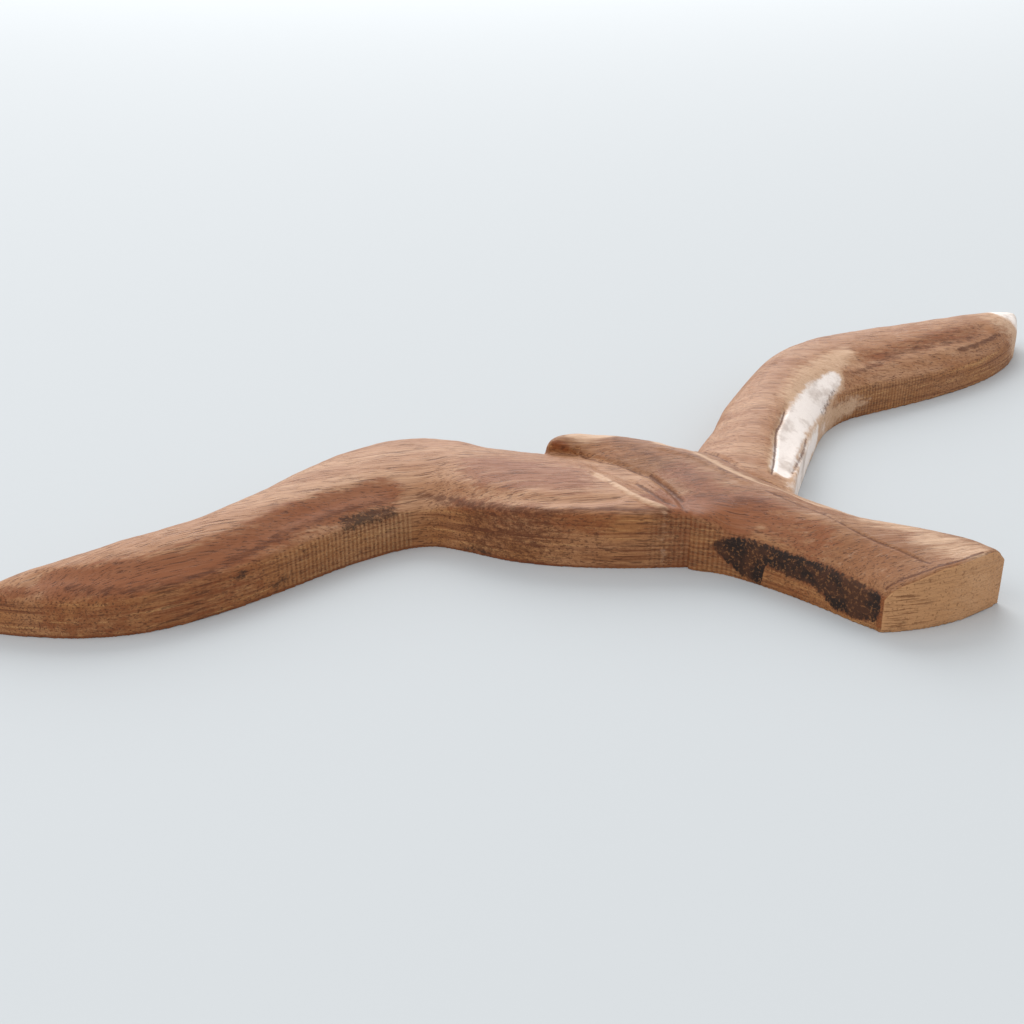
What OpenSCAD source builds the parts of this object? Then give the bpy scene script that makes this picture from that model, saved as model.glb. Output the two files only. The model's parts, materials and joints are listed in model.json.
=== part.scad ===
// Carved wooden gull, lying on its flat back: a body and two dowelled wings.
// X runs towards the right wing tip, Y towards the head and Z up from the flat back.

/* [Overall size] */
// Distance from wing tip to wing tip
wing_span = 483; // [400:1:600]
// Thickness of the board that the three pieces are carved from
board_t = 25; // [22:1:32]

/* [Dowels] */
// Diameter of each dowel and of its holes
dowel_d = 8; // [6:0.5:9]
// Length of each dowel
dowel_len = 34; // [28:1:36]
// Height of the dowels' centre lines above the flat back
dowel_z = 9; // [8:0.5:10]
// Air left at each end of a dowel for glue
glue_gap = 1; // [0.5:0.5:2]
// Number of glue flutes along each dowel
dowel_flutes = 12; // [0:1:16]

/* [Fineness] */
// Rings carved between two neighbouring stations of a wing
wing_steps = 4; // [2:1:5]
// Rings carved between two neighbouring stations of the body
body_steps = 4; // [2:1:5]

/* [Hidden] */

// The stations are drawn for this span and board, and are scaled from them
drawn_span = 483;
drawn_board = 25;
plan_k = wing_span / drawn_span;
rise_k = board_t / drawn_board;

// Colours of the parts
wood = [0.66, 0.46, 0.33];
body_wood = [0.62, 0.42, 0.30];
dowel_wood = [0.85, 0.72, 0.52];

// Depth of stock kept below the flat back until the back is sawn off
waste = 2;
// Height that clears every part
clear_h = 60;

// Where the seven heights of a station stand, from its rear edge to its front edge
across = [0, 0.05, 0.16, 0.36, 0.62, 0.86, 1];
// Where the carved surface is worked out, closer together at the rounded edges
columns = [0, 0.025, 0.05, 0.1, 0.16, 0.25, 0.36, 0.48, 0.6, 0.7, 0.78, 0.86, 0.91, 0.95, 0.98, 1];

// Each station holds the x and y of its rear edge, the x and y of its front edge,
// and its seven heights. The wings' stations run from the root to the tip.
left_wing_stations = [
    [-24, -27,  -22, 42,    20.5, 20.6, 20.8, 20.4, 19.6, 18.6, 17.0],
    [-38, -19,  -34, 46,    20.5, 21.2, 21.8, 21.0, 20.4, 19.0, 17.0],
    [-55,  -8,  -43, 54,    20.5, 21.2, 22.4, 23.2, 22.6, 19.8, 16.0],
    [-70,   4,  -50, 62,    20.5, 21.2, 22.5, 23.6, 23.2, 20.2, 14.5],
    [-82,  17,  -58, 68,    19.5, 20.6, 22.4, 23.9, 23.9, 21.2, 13.5],
    [-91,  32,  -64, 77,    17.0, 18.7, 21.6, 24.0, 24.5, 21.8, 13.0],
    [-98,  41,  -75, 87,    14.5, 16.6, 20.7, 23.8, 24.6, 22.2, 13.0],
    [-110, 45,  -92, 92,    14.0, 16.0, 20.5, 23.8, 24.6, 22.2, 13.0],
    [-130, 45, -117, 89,    14.0, 15.6, 20.0, 23.4, 24.2, 21.7, 13.0],
    [-154, 42, -145, 79,    14.0, 15.4, 19.5, 22.8, 23.7, 21.2, 12.5],
    [-178, 40, -171, 72,    14.0, 15.2, 19.0, 22.2, 23.1, 20.6, 12.0],
    [-200, 42, -196, 73,    13.5, 14.6, 18.0, 21.0, 21.8, 19.5, 12.0],
    [-218, 50, -216, 74,    13.0, 14.0, 16.8, 18.9, 19.3, 17.5, 12.0],
    [-232, 61, -231, 75,    12.0, 12.8, 14.8, 16.3, 16.6, 15.4, 11.5],
    [-241, 70, -242, 74,    11.0, 11.4, 12.6, 13.6, 13.8, 13.2, 11.0]
];
right_wing_stations = [
    [  0, -32,   -6, 14,    16.0, 16.8, 18.4, 20.0, 20.4, 19.2, 17.0],
    [ 12, -21,    8, 25,    15.8, 16.6, 18.2, 20.4, 21.2, 19.2, 16.5],
    [ 28,  -7,   24, 35,    15.0, 15.8, 18.0, 21.4, 22.4, 19.6, 16.5],
    [ 46,   7,   40, 47,    12.5, 14.4, 17.6, 21.9, 23.0, 20.2, 17.0],
    [ 64,  20,   57, 58,    10.5, 13.2, 17.6, 22.4, 23.7, 21.0, 16.5],
    [ 80,  31,   75, 69,     9.5, 13.0, 18.2, 22.9, 24.4, 22.0, 15.5],
    [ 92,  37,   91, 77,    10.0, 13.8, 19.2, 23.3, 24.8, 22.4, 14.5],
    [106,  40,  109, 82,    12.0, 14.8, 19.7, 23.6, 24.9, 22.4, 13.5],
    [122,  39,  127, 83,    13.0, 15.0, 19.7, 23.4, 24.8, 22.3, 13.0],
    [144,  37,  149, 80,    12.0, 14.0, 19.0, 23.0, 24.4, 21.9, 12.5],
    [168,  36,  174, 75,    11.5, 13.5, 18.4, 22.5, 23.8, 21.4, 12.0],
    [192,  38,  198, 72,    11.5, 13.2, 17.6, 21.4, 22.6, 20.3, 12.0],
    [212,  43,  218, 69,    11.5, 13.0, 16.6, 19.8, 20.8, 19.0, 12.0],
    [227,  50,  232, 67,    11.5, 12.8, 15.6, 17.9, 18.6, 17.3, 12.0],
    [238,  58,  241, 64,    11.5, 12.4, 14.6, 16.0, 16.4, 15.6, 12.0]
];
// The body's stations run from the tail to the head, and across from left to right
body_stations = [
    [-13, -100,  31, -104,  11.6, 14.6, 17.4, 20.4, 21.4, 21.2, 16.0],
    [-15, -86,   30, -90,   11.8, 14.9, 17.7, 20.7, 21.5, 21.2, 16.0],
    [-17, -77,   29, -80,   12.0, 15.3, 18.4, 21.6, 21.6, 20.3, 15.6],
    [-19, -65,   24, -66,   12.5, 16.0, 19.8, 22.9, 21.6, 19.2, 15.2],
    [-22, -52,   17, -53,   13.0, 16.6, 20.6, 24.1, 21.8, 18.4, 15.0],
    [-26, -39,   12, -39,   13.5, 16.5, 20.0, 24.4, 23.0, 19.0, 15.5],
    [-30, -30,   10, -29,   14.5, 16.8, 19.8, 23.8, 24.4, 19.5, 16.0],
    [-37, -21,   10, -20,   20.3, 20.4, 20.6, 22.8, 24.6, 19.6, 16.5],
    [-44,  -6,   14, -6,    19.0, 19.0, 19.0, 22.4, 24.4, 19.0, 16.5],
    [-42,  10,   13, 10,    19.0, 18.6, 18.2, 21.8, 24.4, 19.0, 16.5],
    [-43,  25,    3, 21,    18.5, 18.5, 18.4, 21.5, 24.2, 20.8, 15.5],
    [-44,  39,   -7, 35,    18.5, 18.8, 19.2, 21.8, 24.3, 21.0, 15.0],
    [-43,  49,  -19, 47,    21.5, 23.4, 24.4, 24.4, 23.2, 20.0, 14.0],
    [-42,  53,  -27, 54,    16.0, 17.6, 19.2, 20.2, 20.0, 17.8, 13.0],
    [-39,  56,  -32, 57,    12.0, 13.2, 14.4, 15.4, 15.0, 13.8, 11.0]
];

// The wings butt against the body along these lines, which run past the wood at both ends
left_seat = [[-50, -45], [-36, -21], [-28, 9], [-32, 32], [-36, 41], [-43, 49], [-41, 58], [-44, 110]];
right_seat = [[30, -55], [9, -23], [2, -8], [4, 19], [8, 110]];
// How far the stock beyond each seat reaches
beyond = 300;

// The tail is cut off along an arc about this centre, behind the line where it is full width
tail_centre = [19, -30];
tail_r = 66;
tail_full_y = -60;

// Where the middle of each dowel crosses its seat, and the way it points, from +X
left_front_at = [-30.3, 22];
left_rear_at = [-31.5, -4];
left_turn = 160;
right_front_at = [3.4, 11];
right_rear_at = [3.9, -12];
right_turn = 30;

// Depth of a dowel hole on each side of its seat
hole_reach = dowel_len / 2 + glue_gap;
dowel_r = dowel_d / 2;
dowel_bevel = 1;
flute_d = 0.8;
round_fn = 48;

// ---- Smooth curves ----

// A smooth curve between b and c, with a before them and d after them
function between(a, b, c, d, u) =
    b + 0.5 * u * (c - a + u * (2 * a - 5 * b + 4 * c - d + u * (3 * (b - c) + d - a)));

function limit(i, last) = min(max(i, 0), last);

// The station at place s along a list of stations
function station(list, s) =
    let (last = len(list) - 1, i = min(floor(s), last - 1))
    between(list[limit(i - 1, last)], list[i], list[i + 1], list[limit(i + 2, last)], s - i);

// Slope of the heights at mark k across a station
function slope(heights, k) =
    let (last = len(across) - 1, a = limit(k - 1, last), b = limit(k + 1, last))
    (heights[b] - heights[a]) / (across[b] - across[a]);

// Number of the mark at or below fraction f across a station
function mark_below(f) = min(len([for (m = across) if (m <= f) m]) - 1, len(across) - 2);

// Height of the carved surface at fraction f across a station
function carved_height(heights, f) =
    let (
        k = mark_below(f),
        w = across[k + 1] - across[k],
        u = (f - across[k]) / w,
        h00 = 2 * pow(u, 3) - 3 * pow(u, 2) + 1,
        h10 = pow(u, 3) - 2 * pow(u, 2) + u,
        h11 = pow(u, 3) - pow(u, 2)
    )
    h00 * heights[k] + h10 * w * slope(heights, k)
        + (1 - h00) * heights[k + 1] + h11 * w * slope(heights, k + 1);

// One ring: the carved surface from edge to edge, then the two corners of the waste below it
function ring(st) =
    let (
        edge_a = [st[0], st[1]] * plan_k,
        edge_b = [st[2], st[3]] * plan_k,
        heights = [for (i = [4:10]) st[i] * rise_k]
    )
    concat(
        [for (f = columns) let (p = edge_a + f * (edge_b - edge_a)) [p.x, p.y, carved_height(heights, f)]],
        [[edge_b.x, edge_b.y, -waste], [edge_a.x, edge_a.y, -waste]]
    );

// The closed skin over a list of stations. Stations that run along -X with their second
// edge towards +Y, or along +Y with it towards +X, are left-handed and have their faces turned.
module carve(list, steps, left_handed) {
    size = len(columns) + 2;
    count = (len(list) - 1) * steps + 1;
    points = [for (i = [0:count - 1]) each ring(station(list, i / steps))];
    first_cap = [for (j = [size - 1:-1:0]) j];
    last_cap = [for (j = [0:size - 1]) (count - 1) * size + j];
    skin = [
        for (i = [0:count - 2]) for (j = [0:size - 1])
        let (
            a = i * size + j,
            b = i * size + (j + 1) % size,
            c = b + size,
            d = a + size
        )
        each [[a, c, d], [a, b, c]]
    ];
    faces = concat([first_cap, last_cap], skin);
    polyhedron(points, left_handed ? [for (f = faces) [for (k = [len(f) - 1:-1:0]) f[k]]] : faces);
}

// ---- Dowels and their holes ----

module at_dowel(place, turn) {
    translate([place.x * plan_k, place.y * plan_k, dowel_z])
        rotate([0, 0, turn])
        rotate([0, 90, 0])
        children();
}

module dowel_hole(place, turn) {
    at_dowel(place, turn)
        cylinder(h = 2 * hole_reach, r = dowel_r, center = true, $fn = round_fn);
}

module dowel(place, turn) {
    half = dowel_len / 2;
    at_dowel(place, turn)
        difference() {
            rotate_extrude($fn = round_fn)
                polygon([
                    [0, -half], [dowel_r - dowel_bevel, -half], [dowel_r, dowel_bevel - half],
                    [dowel_r, half - dowel_bevel], [dowel_r - dowel_bevel, half], [0, half]
                ]);
            for (i = [1:dowel_flutes])
                rotate([0, 0, i * 360 / dowel_flutes])
                    translate([dowel_r, 0, 0])
                    cylinder(h = dowel_len + 2, d = flute_d, center = true, $fn = 16);
        }
}

module left_holes() {
    dowel_hole(left_front_at, left_turn);
    dowel_hole(left_rear_at, left_turn);
}

module right_holes() {
    dowel_hole(right_front_at, right_turn);
    dowel_hole(right_rear_at, right_turn);
}

// ---- Stock on the wings' sides of the two seats ----

module left_stock(bottom) {
    translate([0, 0, bottom])
        linear_extrude(clear_h)
        polygon(concat(left_seat * plan_k, [[-beyond, 110], [-beyond, -45]] * plan_k));
}

module right_stock(bottom) {
    translate([0, 0, bottom])
        linear_extrude(clear_h)
        polygon(concat(right_seat * plan_k, [[beyond, 110], [beyond, -55]] * plan_k));
}

// Everything within the arc that the tail is cut to, and all that lies ahead of it
module tail_arc() {
    translate(tail_centre * plan_k)
        cylinder(h = clear_h, r = tail_r * plan_k, $fn = 180);
    translate([-beyond / 2, tail_full_y * plan_k, 0])
        cube([beyond, beyond, clear_h]);
}

// ---- Parts ----

module body() {
    color(body_wood)
        difference() {
            intersection() {
                carve(body_stations, body_steps, true);
                tail_arc();
            }
            left_stock(-waste);
            right_stock(-waste);
            left_holes();
            right_holes();
        }
}

module left_wing() {
    color(wood)
        difference() {
            intersection() {
                carve(left_wing_stations, wing_steps, true);
                left_stock(0);
            }
            left_holes();
        }
}

module right_wing() {
    color(wood)
        difference() {
            intersection() {
                carve(right_wing_stations, wing_steps, false);
                right_stock(0);
            }
            right_holes();
        }
}

module left_front_dowel() {
    color(dowel_wood) dowel(left_front_at, left_turn);
}

module left_rear_dowel() {
    color(dowel_wood) dowel(left_rear_at, left_turn);
}

module right_front_dowel() {
    color(dowel_wood) dowel(right_front_at, right_turn);
}

module right_rear_dowel() {
    color(dowel_wood) dowel(right_rear_at, right_turn);
}

body();
left_wing();
right_wing();
left_front_dowel();
left_rear_dowel();
right_front_dowel();
right_rear_dowel();
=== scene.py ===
import json
import math

import bpy
import numpy as np
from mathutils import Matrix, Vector

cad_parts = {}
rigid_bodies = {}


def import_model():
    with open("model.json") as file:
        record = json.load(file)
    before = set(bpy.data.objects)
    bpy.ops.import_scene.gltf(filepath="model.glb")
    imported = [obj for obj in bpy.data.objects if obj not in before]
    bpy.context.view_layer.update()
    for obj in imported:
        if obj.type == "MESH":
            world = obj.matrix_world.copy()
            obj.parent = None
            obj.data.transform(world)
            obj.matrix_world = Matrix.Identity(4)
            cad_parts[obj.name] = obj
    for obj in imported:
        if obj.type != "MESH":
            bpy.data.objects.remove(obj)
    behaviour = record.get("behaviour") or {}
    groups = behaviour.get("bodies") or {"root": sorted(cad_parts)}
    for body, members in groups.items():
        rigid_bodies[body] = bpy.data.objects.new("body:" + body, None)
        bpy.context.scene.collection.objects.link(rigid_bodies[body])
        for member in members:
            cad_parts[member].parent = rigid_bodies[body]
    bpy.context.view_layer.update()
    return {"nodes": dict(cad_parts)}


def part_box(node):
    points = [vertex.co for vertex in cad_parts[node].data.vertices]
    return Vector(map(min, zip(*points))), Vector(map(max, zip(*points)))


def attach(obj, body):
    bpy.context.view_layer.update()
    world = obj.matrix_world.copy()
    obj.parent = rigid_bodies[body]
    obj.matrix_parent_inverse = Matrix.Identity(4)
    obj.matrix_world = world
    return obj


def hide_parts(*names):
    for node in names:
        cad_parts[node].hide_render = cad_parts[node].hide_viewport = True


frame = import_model()

MM = 0.001
WOODEN = ["body", "left_wing", "right_wing"]
DOWELS = ["left_front_dowel", "left_rear_dowel", "right_front_dowel", "right_rear_dowel"]

# The lines in plan, in mm, along which the wings are sawn from the body
LEFT_SEAT = [(-58, -43), (-36.1, -21.1), (-28, 9), (-32, 32), (-36, 41), (-43, 49), (-41, 58), (-44, 110)]
RIGHT_SEAT = [(30, -55), (9, -23), (2, -8), (4, 19), (8, 110)]
# The way that the dowels on each side point, in degrees from +X
DOWEL_TURNS = {"left": 160, "right": 30}
DOWEL_HOLE_RADIUS = 4.03
DOWEL_HOLE_LENGTH = 36

# The side walls in plan, in mm, from the wings' roots to their tips and from the wings to the tail
LEFT_REAR_WALL = [(-36, -21), (-55, -8), (-70, 4), (-82, 17), (-91, 32), (-98, 41), (-110, 45), (-130, 45),
                  (-154, 42), (-178, 40), (-200, 42), (-218, 50), (-232, 61), (-241, 70)]
LEFT_FRONT_WALL = [(-43, 54), (-50, 62), (-58, 68), (-64, 77), (-75, 87), (-92, 92), (-117, 89), (-145, 79),
                   (-171, 72), (-196, 73), (-216, 74), (-231, 75), (-242, 74)]
RIGHT_REAR_WALL = [(9, -23), (28, -7), (46, 7), (64, 20), (80, 31), (92, 37), (106, 40), (122, 39),
                   (144, 37), (168, 36), (192, 38), (212, 43), (227, 50), (238, 58)]
RIGHT_FRONT_WALL = [(4, 19), (8, 25), (24, 35), (40, 47), (57, 58), (75, 69), (91, 77), (109, 82), (127, 83),
                    (149, 80), (174, 75), (198, 72), (218, 69), (232, 67), (241, 64)]
BODY_LEFT_WALL = [(-36, -21), (-30, -30), (-26, -39), (-22, -52), (-19, -65), (-17, -77), (-15, -86)]
BODY_RIGHT_WALL = [(9, -23), (10, -29), (12, -39), (17, -53), (24, -66), (29, -80), (31, -96)]
HEAD_WALL = [(-43, 49), (-42, 53), (-39, 56), (-32, 57), (-27, 54), (-19, 47), (-7, 35), (3, 21)]


# ---- Working on meshes ----

def pick(piece):
    """Selects one piece alone and makes it the active one."""
    bpy.ops.object.select_all(action="DESELECT")
    piece.select_set(True)
    bpy.context.view_layer.objects.active = piece


def finish_with(piece, kind, **settings):
    """Adds a modifier to a piece and applies it."""
    pick(piece)
    modifier = piece.modifiers.new(kind.lower(), kind)
    for name, value in settings.items():
        setattr(modifier, name, value)
    bpy.ops.object.modifier_apply(modifier=modifier.name)


def places_of(piece):
    """Where a piece's points stand, in mm."""
    flat = np.empty(len(piece.data.vertices) * 3)
    piece.data.vertices.foreach_get("co", flat)
    return flat.reshape(-1, 3) / MM


def put_places(piece, places):
    piece.data.vertices.foreach_set("co", (places * MM).ravel())
    piece.data.update()


def facings_of(piece):
    """The way each of a piece's points faces."""
    flat = np.empty(len(piece.data.vertices) * 3)
    piece.data.vertices.foreach_get("normal", flat)
    return flat.reshape(-1, 3)


def group_of(piece, name, weights):
    """A vertex group holding the points whose weight is above nothing, at full weight."""
    group = piece.vertex_groups.new(name=name)
    group.add(np.nonzero(weights > 0)[0].tolist(), 1.0, "REPLACE")
    return group


def keep_layer(piece, name, values):
    """Keeps one number per point on the mesh, for the materials to read."""
    layer = piece.data.attributes.new(name, "FLOAT", "POINT")
    layer.data.foreach_set("value", np.asarray(values, np.float32))


# ---- Lines and strokes ----

def ease(x):
    """0 below 0, 1 above 1, and a smooth rise between."""
    x = np.clip(x, 0, 1)
    return x * x * (3 - 2 * x)


def smooth_line(points, parts=6):
    """A smooth curve through given points."""
    p = np.array(points, float)
    p = np.vstack([2 * p[0] - p[1], p, 2 * p[-1] - p[-2]])
    u = np.linspace(0, 1, parts, endpoint=False)[:, None]
    line = [
        b + 0.5 * u * (c - a + u * (2 * a - 5 * b + 4 * c - d + u * (3 * (b - c) + d - a)))
        for a, b, c, d in zip(p[:-3], p[1:-2], p[2:-1], p[3:])
    ]
    return np.vstack(line + [p[-2:-1]])


def near(places, line):
    """Each point's distance from a line, and how far along the line it is, both in mm. The line is in
    plan when its points have two numbers, and in space when they have three."""
    q = places[:, :line.shape[1]]
    distance = np.full(len(q), np.inf)
    along = np.zeros(len(q))
    start = 0.0
    for a, b in zip(line[:-1], line[1:]):
        step = b - a
        length = np.linalg.norm(step)
        t = np.clip((q - a) @ step / length ** 2, 0, 1)
        d = np.linalg.norm(q - a - t[:, None] * step, axis=1)
        closer = d < distance
        distance[closer] = d[closer]
        along[closer] = start + t[closer] * length
        start += length
    return distance, along, start


def around(places, line, reach):
    """The places within reach of the box round a line."""
    q = places[:, :line.shape[1]]
    return np.nonzero(np.all((q > line.min(0) - reach) & (q < line.max(0) + reach), axis=1))[0]


def stroke(places, points, width, fade=5.0):
    """Strength of a stroke along a curve: 1 on it, falling to 0 at its width and at its ends. The width
    may be one number, or a list of them spread along the curve."""
    line = smooth_line(points, 4)
    widths = np.atleast_1d(np.array(width, float))
    spot = around(places, line, widths.max())
    distance, along, length = near(places[spot], line)
    reach = np.interp(along / length, np.linspace(0, 1, len(widths)), widths)
    strength = np.zeros(len(places))
    strength[spot] = ease(1 - distance / reach) * ease(along / fade) * ease((length - along) / fade)
    return strength


def wall_places(places, wall, reach=5.0):
    """How far each point is from a side wall, and how far along it. Points out of reach get the reach."""
    line = smooth_line(wall, 4)
    spot = around(places, line, reach)
    distance, along = np.full(len(places), reach), np.zeros(len(places))
    distance[spot], along[spot], _ = near(places[spot], line)
    return np.minimum(distance, reach), along


def wall_band(places, facings, wall, marks, soft=1.0):
    """Strength of a patch on a side wall. Each mark gives a distance along the wall and the patch's
    lowest and highest point there, in mm."""
    distance, along = wall_places(places, wall)
    at, low, high = np.array(marks, float).T
    z = places[:, 2]
    above = ease((z - np.interp(along, at, low)) / soft + 0.5)
    below = ease((np.interp(along, at, high) - z) / soft + 0.5)
    ends = ease((along - at[0]) / soft + 0.5) * ease((at[-1] - along) / soft + 0.5)
    return above * below * ends * ease(2 - distance / 2) * ease(1.6 - 2 * np.abs(facings[:, 2]))


def ripple(places, size, seed=0.0):
    """A gentle unevenness between -1 and 1, in waves of about the given size in mm."""
    x, y, z = places.T / size * 2 * math.pi
    total = np.sin(x + 1.3 * np.sin(0.7 * y + seed)) * np.sin(y + 1.1 * np.sin(0.6 * x + 2 + seed))
    return 0.6 * total + 0.4 * np.sin(1.7 * x - 1.4 * y + 0.8 * z + seed)


# ---- The blank, carved as a whole ----

# Spacing of the points on the skin, in mm
GRIT = 0.5
# Share of the skin's faces that thinning leaves
FACES_LEFT = 0.56
# The head and the tail's end keep their sharp edges
HEAD_MIDDLE = (-38, 46)
HEAD_REACH = 11
TAIL_END = -78


def glued_blank():
    """Copies of the three wooden pieces and the dowels, glued up and remeshed into one even skin."""
    bpy.ops.object.select_all(action="DESELECT")
    for node in WOODEN + DOWELS:
        frame["nodes"][node].select_set(True)
    bpy.ops.object.duplicate()
    copies = list(bpy.context.selected_objects)
    bpy.context.view_layer.objects.active = copies[0]
    bpy.ops.object.parent_clear(type="CLEAR_KEEP_TRANSFORM")
    bpy.ops.object.join()
    blank = bpy.context.view_layer.objects.active
    blank.name = "blank"
    for key in list(blank.keys()):
        del blank[key]
    blank.data.materials.clear()
    bpy.ops.object.mode_set(mode="EDIT")
    bpy.ops.mesh.select_all(action="SELECT")
    bpy.ops.mesh.remove_doubles(threshold=0.001 * MM)
    bpy.ops.object.mode_set(mode="OBJECT")
    finish_with(blank, "REMESH", mode="VOXEL", voxel_size=GRIT * MM)
    return blank


def rub_down(blank):
    """Rounds the wings' upper edges, takes the flats off the crown, and eases every edge a little."""
    places = places_of(blank)
    x, y, z = places.T
    head = np.hypot(x - HEAD_MIDDLE[0], y - HEAD_MIDDLE[1]) < HEAD_REACH
    tail_end = y < TAIL_END
    group_of(blank, "upper_edges", (z > 7) & ~head & ~tail_end)
    finish_with(blank, "SMOOTH", factor=0.5, iterations=70, vertex_group="upper_edges")
    group_of(blank, "crown", (facings_of(blank)[:, 2] > 0.25) & (z > 9))
    finish_with(blank, "SMOOTH", factor=0.5, iterations=14, vertex_group="crown")
    valley = stroke(places, LEFT_SEAT[1:5], 9) > 0
    group_of(blank, "valley", valley & (z > 15) & ~head)
    finish_with(blank, "SMOOTH", factor=0.5, iterations=60, vertex_group="valley")
    group_of(blank, "edges", z > 1.5 * GRIT)
    finish_with(blank, "SMOOTH", factor=0.5, iterations=4, vertex_group="edges")


# Cuts in the crown: the line in plan, its width on either side, and its depth. A depth below 0
# raises a ridge.
CUTS = [
    # Valley between the left wing's root and the body, and the hollow beside it
    ([(-36, 41), (-33, 31), (-30, 21), (-28.3, 10), (-30, -1), (-34, -13), (-36.5, -20)],
     [2.2, 2.4, 2.4, 2], 0.7),
    ([(-40, 30), (-37, 18), (-36.5, 6), (-38, -6), (-38.5, -14)], [3, 6, 6.5, 5, 2], 0.9),
    # Ridge along the left wing's root
    ([(-46, 25), (-45, 16), (-45.2, 7), (-45.2, -2), (-43.5, -9.5), (-40, -17)], [1, 2.2, 2.4, 2], -0.7),
    # Two gouge cuts beside the valley
    ([(-34.6, 14), (-36, 2), (-37.5, -7), (-37.8, -16)], 1.5, 0.6),
    ([(-26.2, 14), (-28.2, 3), (-29.8, -5), (-33, -15)], 1.6, 0.6),
    ([(-31.6, 12), (-32.8, 2), (-34.2, -6), (-35.8, -14)], 1.4, -0.4),
    # Strip along the body's right shoulder, between a ridge and the wing's crease
    ([(-16, 24), (-11.5, 12), (-10, 0), (-10.5, -12), (-10.2, -24)], 2.5, -0.5),
    ([(-7, 27), (-3, 15), (-4, 4), (-5, -8), (-4, -18), (0, -32), (4, -46)], 5, 0.8),
    # Crease between the body and the right wing
    ([(4, 19), (3, 5), (2, -8), (5, -17), (9, -23)], 2.6, 0.9),
    # Scored line down the middle of the tail
    ([(-10, -27), (-8.2, -38), (-6, -49), (-5.2, -61), (-3.2, -72), (-0.6, -81), (1, -90)], 1.1, 0.28),
    # Hollowed pale slope on the right wing, with a sharp inner edge and a gouge cut along its foot
    ([(104, 46), (93, 44), (78, 37), (62, 26.5), (49, 17), (35, 6.5), (24, -3), (12, -14)],
     [3, 7, 8, 8, 6], 0.8),
    ([(60, 31), (49, 22.8), (36.5, 13.7), (27.5, 4.8), (18.5, -3.8), (8.5, -12.4)], 1.5, 0.9),
    ([(53, 14), (44, 6.5), (33, -1.5), (19, -11.5)], 1.8, 0.8),
    # Edge of the bevel along the right wing's front
    ([(13, 26), (27, 34), (45, 45.5), (60, 54), (76, 61), (94, 67)], 2.2, -0.35),
    # Hollow between the left wing's flat top and its rear wall
    ([(-230, 66), (-213, 54), (-198, 47.5), (-178, 45.5), (-157, 48), (-140, 52), (-122, 54), (-104, 52)],
     [5.5, 6], 1.25),
    ([(-96, 47), (-90, 38), (-82, 25), (-72, 13), (-58, 3), (-48, -3)], [4, 6, 5, 4], 0.7),
    # Hollow along the right wing's outer half
    ([(108, 49), (124, 48), (143, 47), (164, 46), (186, 46), (206, 49)], 5.5, 0.9),
]
# Middle, radius and depth of the small pit at the foot of the head
PIT = ((-35.6, 41.2), 1.3, 1.6)

# Spacing of the saw's tooth marks, and their depths along and across a wall, in mm
SAW_PITCH = 1.62
SAW_DEPTH = 0.17
CROSSED_DEPTH = 0.10
# How strongly the saw's marks show on each wall, at distances along it in mm
SAWN_WALLS = [
    (LEFT_REAR_WALL, [0, 10, 16, 95, 97, 120, 142, 152, 242],
     [0.5, 0.4, 0.05, 0.05, 1, 0.85, 0.6, 0.1, 0.05]),
    (RIGHT_REAR_WALL, [0, 98, 112, 150, 170, 254], [0.05, 0.15, 0.8, 0.7, 0.2, 0.1]),
    (BODY_LEFT_WALL, [0, 22, 28, 69], [0.55, 0.55, 0.08, 0.08]),
    (LEFT_FRONT_WALL, [0, 100, 250], [0.3, 0.7, 0.35]),
    (RIGHT_FRONT_WALL, [0, 120, 280], [0.35, 0.7, 0.3]),
    (BODY_RIGHT_WALL, [0, 75], [0.5, 0.4]),
    (HEAD_WALL, [0, 70], [0.2, 0.35]),
]
# Where the marks of two cuts cross
CROSSED_WALL = [(-48, -13), (-36, -21), (-30, -31), (-25, -42)]
# Where the chisel bit into the left wing's rear wall: along it, and the lowest and highest point there
BITES = [(61, 2, 15), (68, 1, 17), (78, 1, 15)]
BITE_DEPTH = 0.45
# Below this height, in mm, the walls are left alone, so that the back stays flat
FOOT_HEIGHT = 0.3


def carve_crown(blank):
    """Cuts the valleys, gouge lines and ridges into the crown, and leaves it a little uneven."""
    places, up = places_of(blank), facings_of(blank)[:, 2]
    on_top = ease(2.5 * up) * (places[:, 2] > 8)
    drop = np.zeros(len(places))
    for line, width, depth in CUTS:
        drop += depth * stroke(places, line, width)
    middle, radius, depth = PIT
    drop += depth * ease(1 - np.linalg.norm(places[:, :2] - middle, axis=1) / radius)
    drop += 0.16 * ripple(places, 31.0) + 0.05 * ripple(places, 9.0, seed=4.0)
    places[:, 2] -= drop * on_top
    put_places(blank, places)


def saw_layers(places, facings):
    """Where the saw left its marks, how far along its cut each point is, and how much the marks cross."""
    side = ease(1.5 - 2.2 * np.abs(facings[:, 2])) * (places[:, 2] > FOOT_HEIGHT)
    sawn, run, best = np.zeros(len(places)), np.zeros(len(places)), np.full(len(places), 5.0)
    for wall, at, strength in SAWN_WALLS:
        distance, along = wall_places(places, wall)
        closer = distance < best
        best[closer] = distance[closer]
        run[closer] = along[closer]
        sawn[closer] = np.interp(along, at, strength)[closer]
    crossed = stroke(places, CROSSED_WALL, 5, fade=2)
    return sawn * side, run, crossed * side


def saw_wave(run):
    """The saw's teeth marks along a cut, between 0 and 1, not quite evenly spaced."""
    uneven = run + 0.35 * np.sin(run * 0.9) + 0.3 * np.sin(run * 0.37)
    return 0.5 + 0.5 * np.sin(2 * math.pi * uneven / SAW_PITCH)


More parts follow.
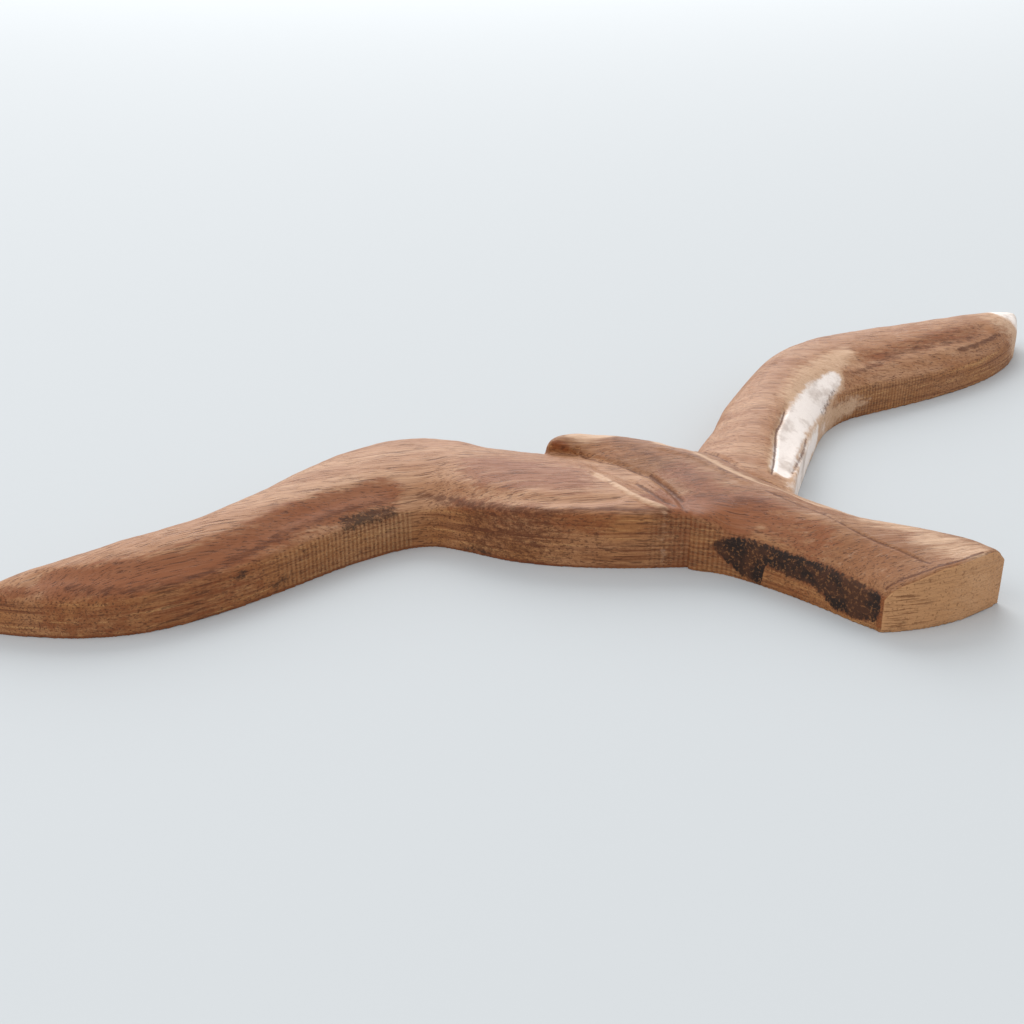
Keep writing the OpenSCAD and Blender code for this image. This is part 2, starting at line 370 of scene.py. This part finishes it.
def saw_walls(blank):
    """Presses the saw's marks into the side walls, and leaves the chisel's bites where it slipped."""
    places, facings = places_of(blank), facings_of(blank)
    sawn, run, crossed = saw_layers(places, facings)
    depth = SAW_DEPTH * sawn * saw_wave(run)
    depth += CROSSED_DEPTH * crossed * (0.5 + 0.5 * np.sin(2 * math.pi * places[:, 2] / SAW_PITCH))
    bites = wall_band(places, facings, LEFT_REAR_WALL, BITES, soft=3)
    depth += BITE_DEPTH * bites * (0.5 + 0.5 * ripple(places[:, [1, 2, 0]], 5.5))
    depth += 0.07 * ripple(places[:, [1, 0, 2]], 14.0) * ease(1.5 - 2 * np.abs(facings[:, 2]))
    places -= facings * (depth * (places[:, 2] > FOOT_HEIGHT))[:, None]
    put_places(blank, places)


def thin_out(blank):
    """Leaves fewer faces where the skin is flat, which is mostly on the back."""
    finish_with(blank, "DECIMATE", ratio=FACES_LEFT)


# ---- Stains, painted shade and highlights, and the other layers that the materials read ----

# Painted shade: dark brown laid into the valley, creases, gouge cuts and hollows and along the rounded tops
# of the walls, where shade falls; some strokes also draw dark lines in the wood
SHADE_STROKES = [
    # Along the wall tops of the left wing
    ([(-102, 49), (-96, 44), (-92, 38), (-87, 27.5), (-79.5, 15), (-70, 5.7), (-59, -2), (-48.5, -10),
      (-38, -18)], [3.2, 4.0, 3.4, 3.0, 3.2, 2.6], 0.6),
    ([(-222, 57), (-210, 48), (-198, 43.5), (-182, 41.5), (-163, 44), (-143, 48.5), (-123, 50.5),
      (-105, 49.5)], 3.2, 0.56),
    ([(-228, 66), (-209, 56), (-195, 52), (-178, 51), (-159, 55), (-143, 58)], 2.6, 0.22),
    # In the valley, the gouge cuts and the creases
    ([(-36, 41), (-33, 31), (-30, 21), (-28.3, 10), (-30, -1), (-34, -13), (-36.5, -20)], 1.2, 0.62),
    ([(-34.6, 10), (-36, 0), (-37.5, -8), (-37.8, -16)], 1.4, 0.78),
    ([(-26.6, 12), (-28.4, 2), (-29.8, -5), (-32, -13)], 1.4, 0.78),
    ([(-16, 24), (-11.5, 12), (-10, 0), (-10.5, -12), (-10.2, -24)], 1.6, 0.5),
    ([(-24, 44), (-22, 30), (-20, 14), (-20, -2), (-22, -16)], 9.0, 0.46),
    ([(-31, -6), (-24, -16), (-18, -28), (-14, -42)], [6, 9, 7], 0.5),
    ([(-10, -27), (-8.2, -38), (-6, -49), (-5.2, -61), (-3.2, -72), (-0.6, -81), (1, -90)], 1.0, 0.7),
    ([(-5, 35), (4, 19), (3, 5), (2, -8), (5, -17), (9, -26), (13, -42), (20, -60)], 1.3, 0.62),
    # Round the pale slope of the right wing
    ([(54, 27), (48.5, 22.6), (42, 17.6), (36.5, 13.8), (27.5, 5), (18.5, -3.5), (9, -12)],
     [0.6, 1.0, 1.2, 1.0, 0.8], 0.78),
    ([(55, 15.5), (44, 6.5), (33, -1.5), (22, -9.5)], [0.8, 1.5, 1.0], 0.58),
    ([(98, 42), (88, 36.5), (80, 32)], 1.8, 0.5),
    # Dark bands along the right wing's outer half
    ([(106, 45), (122, 45.5), (143, 47.5), (160, 46), (180, 45.5), (196, 46)], [3, 5.5, 5, 4], 0.5),
    ([(150, 52), (170, 50), (188, 50), (205, 51)], 2.6, 0.42),
    ([(172, 41), (186, 41.7), (194.5, 43), (210, 46)], 2.2, 0.66),
    ([(196, 68), (210, 66), (222, 64)], 2.0, 0.55),
    # Along the tail's cut edge
    ([(-14, -84.8), (-10.7, -86.4), (-3.8, -89.8), (1.9, -92), (9, -93.8), (19, -95)], 0.9, 0.9),
]
# Reddish brown: the wood's own reddish patches at the left wing's tip and the tail's corner, and painted
# shade in the hollow behind the left wing's flat top and on the head's shaded side. The other strokes darken
# the left wing's root and its rear wall, the body's top and the hollow of the right wing's outer half.
RUST_AND_SHADE_STROKES = [
    # Painted shade, with some reddish streaks of the wood: the hollow between the left wing's flat top and
    # its rear wall, turned away from the light
    ([(-232, 66), (-209, 51), (-195, 47), (-178, 45), (-159, 48), (-146, 51), (-120, 53), (-98, 50)],
     12.0, 0.85),
    ([(-240, 70, 12), (-232, 64, 14), (-222, 57, 15)], 5.0, 0.62),
    ([(-15, -85.5, 0), (-15, -85.5, 7), (-15, -85.5, 14)], 2.2, 0.9),
    # Painted shade on the head's left side, which faces away from the light
    ([(-43.5, 50, 22), (-40, 46, 22), (-36.5, 42, 20)], 3.6, 0.9),
    ([(-20, 20), (-20, 0), (-22, -18), (-18, -34), (-16, -50), (-13, -72)], 15.0, 0.62),
    ([(112, 47), (140, 49), (170, 48), (204, 50)], 11.0, 0.5),
    ([(-98, 42, 17), (-86, 25, 18), (-70, 5, 18), (-50, -9, 18)], 9.0, 0.6),
    ([(-92, 58), (-70, 34), (-56, 18), (-46, 0)], 24.0, 0.75),
    ([(-46, 4), (-37, -10), (-28, -20), (-20, -31), (-16, -46)], 15.0, 1.0),
    ([(-95, 38, 14), (-86, 25, 14), (-70, 5, 14), (-50, -9, 14), (-38, -18, 14)], 7.0, 0.5),
]
# White sapwood
SAP_STROKES = [
    ([(108, 46), (94, 43), (80, 36.5), (64, 27), (49, 17), (35, 6.5), (24, -3), (11, -14)],
     [4, 7, 8, 8.5, 8, 7.5, 7], 1.6),
    ([(0, -30, 6), (20, -14, 6), (45, 6, 6), (66, 22, 6), (84, 34, 6)], [18, 18, 17, 12, 7], 1.3),
    ([(212, 65, 18), (228, 60, 17), (252, 54, 13), (275, 50, 10)], [8, 14, 16, 16], 1.6),
]
# Lighter, cream heartwood; the strip along the body's right shoulder is partly a painted highlight, and the
# line along the ridge at the left wing's root is a painted highlight
CREAM_AND_HIGHLIGHT_STROKES = [
    ([(128, 57), (114, 54), (102, 51), (88, 46), (70, 36), (52, 24)], [6, 11, 13, 13, 10], 0.8),
    ([(30, -5.5, 8), (64, 20, 7), (84, 33, 6), (104, 39, 6), (124, 41, 7)], [18, 18, 17, 9, 5], 0.85),
    ([(190, 60, 16), (224, 54, 10), (250, 50, 6), (290, 46, 4)], [10, 22, 26, 26], 1.0),
    # Pale strip along the body's right shoulder, partly a painted highlight
    ([(-14, 30), (-6, 17), (-6, 4), (-6.5, -8), (-5, -18), (0, -32), (4, -42)], 5.5, 0.85),
    ([(-2, -14), (5, -34), (10, -52), (13, -70), (15, -90), (16, -118)], [12, 17, 20], 0.6),
    ([(-42, 48, 25), (-28, 46, 26), (-12, 38, 25)], 12.0, 0.9),
    # Painted highlight along the ridge at the left wing's root
    ([(-46, 20), (-45.5, 7), (-45, -5), (-41, -17)], 3.0, 0.7),
]
# Blackish smudges, and a painted shadow: the soft dark band across the saw's marks on the left wing's rear
# wall
SMUDGE_AND_SHADOW_STROKES = [
    # Painted shadow across the saw's marks
    ([(-106, 46, 15), (-118, 46.5, 15.5), (-133, 46.5, 15)], 5.6, 0.8),
    ([(-133, 46, 12), (-146, 44, 11), (-160, 43, 12)], 2.6, 0.36),
    ([(-174, 40, 10), (-164, 40.5, 12)], 4.0, 0.55),
    ([(-161, 41, 2), (-155, 42, 3.5), (-148, 42.5, 7)], 4.0, 0.55),
    ([(-93, 35, 1), (-90, 30, 1.2), (-85, 22, 1)], 2.6, 0.62),
    ([(-33, -24, 14), (-29, -33, 14)], 4.0, 0.4),
    ([(105, 39.5, 12), (116, 39.5, 13), (124, 39, 13)], 3.4, 0.4),
]
# How far along the body's left wall the scorched patch reaches, and its lowest and highest point there
SCORCH = [(8, 9, 12), (13, 5, 14), (18, 2, 15), (25.5, 0, 15), (26.5, 8, 15), (35, 7, 14.5),
          (44, 7, 15), (49, 4, 15.5), (53, 2, 15.5), (60, 1.5, 14.5), (68, 3, 13.6)]
# Painted contact shade: a thin dark reddish line along the foot of the left wing's rear wall, given in the
# same way
FOOT_BAND = [(0, -1, 1), (240, -1, 1)]
# The tail's end grain lies behind this line, in mm
CUT_END = -84


def sum_strokes(places, strokes):
    """The strongest of a list of strokes at each point."""
    total = np.zeros(len(places))
    for line, width, strength in strokes:
        total = np.maximum(total, strength * stroke(places, line, width, fade=np.max(width)))
    return total


def keep_layers(piece):
    """Works out and keeps every layer that the wood's material reads."""
    places, facings = places_of(piece), facings_of(piece)
    sawn, run, crossed = saw_layers(places, facings)
    keep_layer(piece, "sawn", sawn)
    keep_layer(piece, "saw_run", run * MM)
    keep_layer(piece, "crossed", crossed)
    keep_layer(piece, "flank", ease(1.15 - 1.25 * facings[:, 2]))
    keep_layer(piece, "shade", sum_strokes(places, SHADE_STROKES))
    keep_layer(piece, "rust_and_shade", sum_strokes(places, RUST_AND_SHADE_STROKES))
    keep_layer(piece, "sap", sum_strokes(places, SAP_STROKES))
    keep_layer(piece, "cream", sum_strokes(places, CREAM_AND_HIGHLIGHT_STROKES))
    keep_layer(piece, "smudge_and_shadow", sum_strokes(places, SMUDGE_AND_SHADOW_STROKES))
    keep_layer(piece, "scorch", wall_band(places, facings, BODY_LEFT_WALL, SCORCH, soft=3.0))
    keep_layer(piece, "foot", wall_band(places, facings, LEFT_REAR_WALL, FOOT_BAND, soft=2.0))
    at_end = ease((CUT_END - places[:, 1]) / 2 + 1)
    faces_back = ease(-1.6 * facings[:, 1] - 0.3) * ease(1.4 - 2 * np.abs(facings[:, 2]))
    keep_layer(piece, "end_grain", at_end * faces_back)


# ---- Sawn into its three pieces ----

# The cutting blocks start below the back and end above the crown, in mm
STOCK_FOOT = -5
STOCK_HEIGHT = 40

def stock(name, seat, far_x):
    """A tall block whose near side follows a seat, which stands for the stock on that wing's side."""
    outline = list(seat) + [(far_x, seat[-1][1]), (far_x, seat[0][1])]
    bpy.ops.mesh.primitive_circle_add(vertices=len(outline), fill_type="NGON")
    block = bpy.context.active_object
    block.name = name
    put_places(block, np.array([(x, y, STOCK_FOOT) for x, y in outline]))
    bpy.ops.object.mode_set(mode="EDIT")
    bpy.ops.mesh.select_all(action="SELECT")
    bpy.ops.mesh.extrude_region_move(TRANSFORM_OT_translate={"value": (0, 0, STOCK_HEIGHT * MM)})
    bpy.ops.mesh.select_all(action="SELECT")
    bpy.ops.mesh.normals_make_consistent(inside=False)
    bpy.ops.object.mode_set(mode="OBJECT")
    return block


def dowel_bit(node):
    """A round bar as wide and long as the hole for one dowel."""
    low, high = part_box(node)
    turn = math.radians(DOWEL_TURNS[node.split("_")[0]])
    bpy.ops.mesh.primitive_cylinder_add(
        vertices=48, radius=DOWEL_HOLE_RADIUS * MM, depth=DOWEL_HOLE_LENGTH * MM,
        location=(low + high) / 2, rotation=(0, math.pi / 2, turn))
    return bpy.context.active_object


def saw_apart(blank):
    """The blank sawn along the seats, with the dowel holes bored."""
    left = stock("left_stock", LEFT_SEAT, -300)
    right = stock("right_stock", RIGHT_SEAT, 300)
    bits = [dowel_bit(node) for node in DOWELS]
    recipes = {
        "carved_body": [("DIFFERENCE", left), ("DIFFERENCE", right)],
        "carved_left_wing": [("INTERSECT", left)],
        "carved_right_wing": [("INTERSECT", right)],
    }
    pieces = {}
    for name, cuts in recipes.items():
        piece = bpy.data.objects.new(name, blank.data.copy())
        bpy.context.scene.collection.objects.link(piece)
        for node, bit in zip(DOWELS, bits):
            if name == "carved_body" or node.split("_")[0] in name:
                cuts.append(("DIFFERENCE", bit))
        for operation, tool in cuts:
            finish_with(piece, "BOOLEAN", operation=operation, object=tool, solver="MANIFOLD")
        pieces[name] = piece
    for tool in [left, right, blank] + bits:
        bpy.data.objects.remove(tool)
    return pieces


# ---- Materials ----

def tint(red, green, blue):
    """A colour given as it is seen, from 0 to 255, for a shader's socket."""
    seen = [channel / 255 for channel in (red, green, blue)]
    return [c / 12.92 if c <= 0.04045 else ((c + 0.055) / 1.055) ** 2.4 for c in seen] + [1.0]


class Wood:
    """Builds one material's nodes, a step at a time."""

    def __init__(self, name):
        self.material = bpy.data.materials.new(name)
        self.material.use_nodes = True
        self.tree = self.material.node_tree
        self.shader = self.tree.nodes["Principled BSDF"]

    def give(self, socket, value):
        if isinstance(value, bpy.types.NodeSocket):
            self.tree.links.new(value, socket)
        else:
            socket.default_value = value

    def step(self, kind, inputs, output=0, **settings):
        made = self.tree.nodes.new(kind)
        for name, value in settings.items():
            setattr(made, name, value)
        for key, value in inputs.items():
            self.give(made.inputs[key], value)
        return made.outputs[output]

    def layer(self, name):
        return self.step("ShaderNodeAttribute", {}, output="Fac", attribute_name=name)

    def sum(self, operation, *values):
        return self.step("ShaderNodeMath", dict(enumerate(values)), operation=operation)

    def noise(self, where, detail=3.0, roughness=0.55):
        inputs = {"Vector": where, "Scale": 1.0, "Detail": detail, "Roughness": roughness}
        return self.step("ShaderNodeTexNoise", inputs)

    def between(self, value, low, high, least=0.0, most=1.0):
        """The value spread smoothly from least to most as it goes from low to high."""
        inputs = {"Value": value, "From Min": low, "From Max": high, "To Min": least, "To Max": most}
        return self.step("ShaderNodeMapRange", inputs, interpolation_type="SMOOTHSTEP")

    def mix(self, factor, a, b):
        return self.step("ShaderNodeMix", {0: factor, 6: a, 7: b}, output=2, data_type="RGBA")

    def spread(self, where, *sizes):
        """Coordinates in which one unit is the given size, in mm, along each axis."""
        return self.step("ShaderNodeMapping", {"Vector": where, "Scale": [1 / (size * MM) for size in sizes]})


def split(wood, place):
    """A place's three numbers."""
    parts = wood.tree.nodes.new("ShaderNodeSeparateXYZ")
    wood.give(parts.inputs[0], place)
    return parts.outputs


# The grain slopes most at its middle, and straightens over the turn's distance on either side
GRAIN_TURN = 110 * MM
GRAIN_MIDDLE = 20 * MM


def grain_coordinates(wood, shift):
    """The plain coordinates, and others that run with the grain in X. The grain lies along the outer
    wings and dips across the middle of the board."""
    place = wood.step("ShaderNodeTexCoord", {}, output="Object")
    wander = wood.noise(wood.spread(place, 70, 70, 70), detail=2.0)
    x, y, z = split(wood, place)
    bend = wood.sum("TANH", wood.sum("DIVIDE", wood.sum("SUBTRACT", x, GRAIN_MIDDLE), GRAIN_TURN))
    dip = wood.between(y, -75 * MM, -10 * MM, 0.35 * GRAIN_TURN, GRAIN_TURN)
    across = wood.sum("MULTIPLY_ADD", bend, dip, y)
    across = wood.sum("MULTIPLY_ADD", wander, 9 * MM, across)
    depth = wood.sum("MULTIPLY_ADD", wander, 3 * MM, wood.sum("ADD", z, shift))
    return place, wood.step("ShaderNodeCombineXYZ", {0: x, 1: across, 2: depth})


def stained(wood, colour, layer, grain, paint, most, fray=1.5, size=(6, 1.6, 1.6), low=0.3, high=0.7):
    """Lays a stain, painted shade or painted highlight over the colour where its layer is strong, with an
    edge frayed along the grain.
    """
    torn = wood.noise(wood.spread(grain, *size), detail=5.0, roughness=0.75)
    amount = wood.sum("ADD", wood.layer(layer), wood.sum("MULTIPLY_ADD", torn, fray, -0.5 * fray))
    none_outside = wood.between(wood.layer(layer), 0.02, 0.2)
    covered = wood.sum("MULTIPLY", wood.between(amount, low, high, 0, most), none_outside)
    return wood.mix(covered, colour, paint)


class Figure:
    """What shows in the surface of one piece of wood, from broad bands down to pores and saw marks."""

    def __init__(self, wood, shift):
        self.place, self.grain = grain_coordinates(wood, shift)
        self.flank = wood.layer("flank")
        self.bands = wood.noise(wood.spread(self.grain, 150, 12, 14), detail=3.0)
        self.blotches = wood.noise(wood.spread(self.grain, 34, 12, 12), detail=4.0, roughness=0.6)
        self.streaks = wood.noise(wood.spread(self.grain, 48, 1.2, 1.6), detail=4.0, roughness=0.65)
        self.fibres = wood.noise(wood.spread(self.grain, 16, 0.4, 0.5), detail=3.0, roughness=0.7)
        self.specks = wood.noise(wood.spread(self.place, 1.0, 1.0, 1.0), detail=3.0, roughness=0.7)
        self.clouds = wood.noise(wood.spread(self.place, 13, 9, 9), detail=5.0, roughness=0.6)
        pore_grain = wood.noise(wood.spread(self.grain, 9, 0.42, 0.5), detail=2.0)
        pore_edge = wood.sum("MULTIPLY_ADD", self.flank, -0.03, 0.575)
        self.pores = wood.between(pore_grain, pore_edge, 0.65)
        self.x, _, self.z = split(wood, self.place)

        # The teeth stood across the walls
        jitter = wood.noise(wood.spread(self.place, 9, 9, 30), detail=1.0)
        run = wood.sum("MULTIPLY_ADD", jitter, 0.8 * MM, wood.layer("saw_run"))
        self.teeth = teeth_of(wood, run, -0.6, 1.0)
        self.broken = wood.between(self.specks, 0.3, 0.62, 1.0, 0.35)
        self.cut = wood.sum("MULTIPLY", wood.layer("sawn"), self.broken)
        self.saw_marks = wood.sum("MULTIPLY", self.teeth, self.cut)


def teeth_of(wood, run, low, most):
    """The saw's tooth marks, from nothing to most, at the saw's pitch along a run."""
    wave = wood.sum("SINE", wood.sum("MULTIPLY", run, 2 * math.pi / (SAW_PITCH * MM)))
    return wood.between(wave, low, 0.9, 0, most)


def heartwood(wood, figure, light, middle, dark):
    """Bands, blotches and streaks along the grain."""
    colour = wood.mix(wood.between(figure.bands, 0.35, 0.65), light, middle)
    colour = wood.mix(wood.between(figure.blotches, 0.42, 0.66, 0, 0.5), colour, tint(166, 106, 66))
    colour = wood.mix(wood.between(figure.streaks, 0.5, 0.74, 0, 0.55), colour, dark)
    return wood.mix(wood.between(figure.streaks, 0.45, 0.3, 0, 0.35), colour, tint(212, 176, 146))


def torn_sides(wood, figure, colour):
    """The sides are more orange, in thin layers, and speckled where the tools tore the grain."""
    layers = wood.noise(wood.spread(figure.place, 34, 44, 1.1), detail=5.0, roughness=0.7)
    coats = [
        (wood.between(figure.blotches, 0.3, 0.7, 0.6, 0.95), tint(178, 116, 66)),
        (wood.between(layers, 0.48, 0.66, 0, 0.85), tint(118, 62, 32)),
        (wood.between(layers, 0.46, 0.33, 0, 0.7), tint(220, 166, 108)),
        (wood.between(figure.specks, 0.54, 0.66, 0, 0.3), tint(100, 54, 28)),
    ]
    for cover, paint in coats:
        colour = wood.mix(wood.sum("MULTIPLY", cover, figure.flank), colour, paint)
    # Reddish patches of the wood, and painted shade in the left wing's shoulder hollow and on the head's
    # shaded side
    return stained(wood, colour, "rust_and_shade", figure.grain, tint(142, 74, 36), 0.72, size=(14, 2.5, 2.5))


def open_pores(wood, figure, colour, dark):
    """Fine fibres, and the dark pores between them."""
    colour = wood.mix(wood.between(figure.fibres, 0.45, 0.72, 0, 0.5), colour, dark)
    return wood.mix(wood.sum("MULTIPLY", figure.pores, 0.72), colour, tint(92, 50, 28))


def sawn_sides(wood, figure, colour):
    """The saw's marks across the walls, and the level ones that cross them by the left wing's root, coloured
    with painted shade in their grooves and painted highlights on their ridges.
    """
    # Painted shade in the grooves of the saw's marks
    colour = wood.mix(wood.sum("MULTIPLY", figure.saw_marks, 0.52), colour, tint(96, 56, 32))
    ridges = wood.sum("MULTIPLY", wood.sum("SUBTRACT", 1.0, figure.teeth), figure.cut)
    # Painted highlight on the ridges between the saw's marks
    colour = wood.mix(wood.sum("MULTIPLY", ridges, 0.45), colour, tint(208, 166, 120))
    level = wood.sum("MULTIPLY", teeth_of(wood, figure.z, -0.2, 0.5), wood.layer("crossed"))
    return wood.mix(wood.sum("MULTIPLY", level, figure.broken), colour, tint(96, 58, 36))


def sapwood(wood, figure, colour):
    """Cream wood with painted highlights along two ridges, and the white sapwood on the right wing's rear
    slope and tip.
    """
    cream = wood.mix(wood.between(figure.fibres, 0.42, 0.7, 0, 0.6), tint(213, 177, 146), tint(170, 124, 92))
    # Cream heartwood, with painted highlights along two ridges
    colour = stained(wood, colour, "cream", figure.grain, cream, 0.85, 1.6, (16, 2.5, 2.5), 0.2, 0.8)
    colour = stained(wood, colour, "sap", figure.grain, cream, 0.85, 1.2, (12, 3, 3), 0.15, 0.6)
    pale = wood.mix(wood.between(figure.clouds, 0.46, 0.66, 0, 0.7), tint(253, 241, 233), tint(196, 178, 166))
    pale = wood.mix(wood.between(figure.fibres, 0.52, 0.72, 0, 0.3), pale, tint(170, 144, 124))
    return stained(wood, colour, "sap", figure.place, pale, 0.97, 1.8, (12, 5, 5), 0.45, 1.05)


def cut_end(wood, figure, colour):
    """End grain on the tail's cut end, with dashes mostly to the left and dots all over."""
    colour = stained(wood, colour, "end_grain", figure.grain, tint(198, 147, 102), 0.85, fray=0.8)
    rings = wood.noise(wood.spread(figure.place, 7, 40, 0.6), detail=3.0, roughness=0.65)
    dashes = wood.sum("MULTIPLY", wood.layer("end_grain"), wood.between(rings, 0.52, 0.62, 0, 0.75))
    dashes = wood.sum("MULTIPLY", dashes, wood.between(figure.x, 3 * MM, -7 * MM, 0.3, 1.0))
    colour = wood.mix(dashes, colour, tint(114, 70, 39))
    dots = wood.sum("MULTIPLY", wood.layer("end_grain"), wood.between(figure.specks, 0.56, 0.64, 0, 0.5))
    return wood.mix(dots, colour, tint(112, 70, 40))


def shade_and_scorch(wood, figure, colour):
    """Painted shade in the creases, cuts and hollows, smudges with a painted shadow among them, the scorched
    patch on the tail's side, and painted contact shade along the foot of the left wing.
    """
    # Painted shade: dark brown in the creases, cuts and hollows
    colour = stained(wood, colour, "shade", figure.grain, tint(92, 48, 24), 0.8, size=(6, 1.2, 1.2))
    # Blackish colour for the scorch, the smudges and the painted shadow among them
    soot_and_shadow = wood.mix(wood.between(figure.clouds, 0.44, 0.6), tint(34, 22, 17), tint(74, 43, 26))
    soot_and_shadow = wood.mix(wood.between(figure.specks, 0.55, 0.63, 0, 0.6), soot_and_shadow, tint(150, 100, 60))
    colour = stained(wood, colour, "smudge_and_shadow", figure.grain, soot_and_shadow, 0.8, 2.0, (2.4, 1.3, 1.3))
    singed = tint(104, 56, 30)
    colour = stained(wood, colour, "scorch", figure.place, singed, 0.8, 1.6, (1.6, 1.6, 5), 0.2, 0.6)
    colour = stained(wood, colour, "scorch", figure.place, soot_and_shadow, 0.97, 2.6, (1.5, 1.5, 4), 0.35, 0.65)
    # Painted contact shade: a thin dark reddish line along the foot of the left wing's rear wall
    return stained(wood, colour, "foot", figure.grain, tint(120, 62, 32), 0.6)


def relief(wood, figure):
    """The height of fibres, pores, torn grain and saw marks that are too fine for the mesh."""
    height = wood.sum("MULTIPLY_ADD", figure.fibres, 0.4, wood.sum("MULTIPLY", figure.streaks, 0.3))
    height = wood.sum("MULTIPLY_ADD", figure.pores, -0.7, height)
    height = wood.sum("MULTIPLY_ADD", wood.sum("MULTIPLY", figure.specks, figure.flank), 0.9, height)
    height = wood.sum("MULTIPLY_ADD", figure.saw_marks, -0.8, height)
    return wood.step("ShaderNodeBump", {"Strength": 0.6, "Distance": 0.25 * MM, "Height": height})


# How much the oil has darkened all but the sapwood
OIL = 0.17


def carved_wood(name, shift, light, middle, dark):
    """Oiled, hand-carved hardwood: bands and fibres along the grain, open pores, sawn walls and stains, with
    painted shade and highlights in places.
    """
    wood = Wood(name)
    figure = Figure(wood, shift)
    colour = heartwood(wood, figure, light, middle, dark)
    colour = torn_sides(wood, figure, colour)
    colour = open_pores(wood, figure, colour, dark)
    colour = sawn_sides(wood, figure, colour)
    colour = wood.mix(OIL, colour, (0, 0, 0, 1))
    colour = sapwood(wood, figure, colour)
    colour = cut_end(wood, figure, colour)
    colour = shade_and_scorch(wood, figure, colour)
    wood.give(wood.shader.inputs["Base Color"], colour)
    worn = wood.between(figure.fibres, 0.3, 0.7, 0.44, 0.58)
    wood.give(wood.shader.inputs["Roughness"], wood.sum("MULTIPLY_ADD", figure.flank, 0.14, worn))
    wood.give(wood.shader.inputs["Specular IOR Level"], 0.28)
    wood.give(wood.shader.inputs["Normal"], relief(wood, figure))
    return wood.material


def dowel_wood():
    """Pale birch with fine straight grain."""
    wood = Wood("birch_dowel")
    place = wood.step("ShaderNodeTexCoord", {}, output="Object")
    grain = wood.noise(wood.spread(place, 8, 1, 1), detail=4.0)
    colour = wood.mix(wood.between(grain, 0.3, 0.7), tint(226, 198, 154), tint(192, 156, 110))
    wood.give(wood.shader.inputs["Base Color"], colour)
    wood.give(wood.shader.inputs["Roughness"], 0.6)
    bump = wood.step("ShaderNodeBump", {"Strength": 0.3, "Distance": 0.1 * MM, "Height": grain})
    wood.give(wood.shader.inputs["Normal"], bump)
    return wood.material


# ---- Floor, light and camera ----

def pale_floor():
    bpy.ops.mesh.primitive_plane_add(size=8, location=(0, 0, -0.05 * MM))
    floor = bpy.context.active_object
    floor.name = "floor"
    material = bpy.data.materials.new("pale_floor")
    material.use_nodes = True
    shader = material.node_tree.nodes["Principled BSDF"]
    shader.inputs["Base Color"].default_value = tint(197, 200, 202)
    shader.inputs["Roughness"].default_value = 0.9
    shader.inputs["Specular IOR Level"].default_value = 0.1
    floor.data.materials.append(material)


CAMERA_PLACE = (-0.3199, -0.3271, 0.2226)
CAMERA_TURN = -34.73
CAMERA_DIP = 26


def camera():
    data = bpy.data.cameras.new("camera")
    data.sensor_width = 36
    data.lens = 49.22
    view = bpy.data.objects.new("camera", data)
    view.location = CAMERA_PLACE
    view.rotation_euler = (math.radians(90 - CAMERA_DIP), 0, math.radians(CAMERA_TURN))
    bpy.context.scene.collection.objects.link(view)
    bpy.context.scene.camera = view


def soft_light(name, place, aim, size, power, colour):
    data = bpy.data.lights.new(name, "AREA")
    data.size = size
    data.energy = power
    data.color = colour
    lamp = bpy.data.objects.new(name, data)
    lamp.location = place
    lamp.rotation_euler = (Vector(aim) - Vector(place)).to_track_quat("-Z", "Y").to_euler()
    bpy.context.scene.collection.objects.link(lamp)


def studio():
    world = bpy.data.worlds.new("studio")
    bpy.context.scene.world = world
    world.use_nodes = True
    sky = world.node_tree.nodes["Background"]
    sky.inputs["Color"].default_value = (0.965, 0.985, 1.0, 1)
    sky.inputs["Strength"].default_value = 0.85
    soft_light("window", (1.3, 2.5, 2.1), (0, 0, 0), 3.0, 88, (1.0, 1.0, 1.0))
    soft_light("fill", (-1.3, 0.4, 1.2), (0, 0, 0), 1.2, 7, (0.97, 0.99, 1.0))
    bpy.context.scene.view_settings.view_transform = "Standard"


# ---- Making it all ----

camera()
studio()
pale_floor()

blank = glued_blank()
rub_down(blank)
carve_crown(blank)
saw_walls(blank)
thin_out(blank)
pieces = saw_apart(blank)

# Light, middle and dark tones of each wood
WING_TINTS = (tint(202, 154, 118), tint(184, 131, 93), tint(110, 62, 34))
BODY_TINTS = (tint(176, 126, 88), tint(156, 106, 70), tint(102, 58, 32))
# For each piece: the node that it replaces, its slot, how far its figure is shifted, and its tones
finishes = {
    "carved_body": ("body", "body_wood", 0, BODY_TINTS),
    "carved_left_wing": ("left_wing", "wing_wood", 20 * MM, WING_TINTS),
    "carved_right_wing": ("right_wing", "wing_wood", 50 * MM, WING_TINTS),
}
for name, piece in pieces.items():
    node, slot, shift, tints = finishes[name]
    piece.data.materials.clear()
    piece.data.materials.append(carved_wood("oiled_" + node + "_wood", shift, *tints))
    keep_layers(piece)
    pick(piece)
    bpy.ops.object.shade_smooth_by_angle(angle=math.radians(60))
    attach(piece, "root")
    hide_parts(node)

birch = dowel_wood()
for node in DOWELS:
    dowel = frame["nodes"][node]
    for material_slot in dowel.material_slots:
        material_slot.material = birch
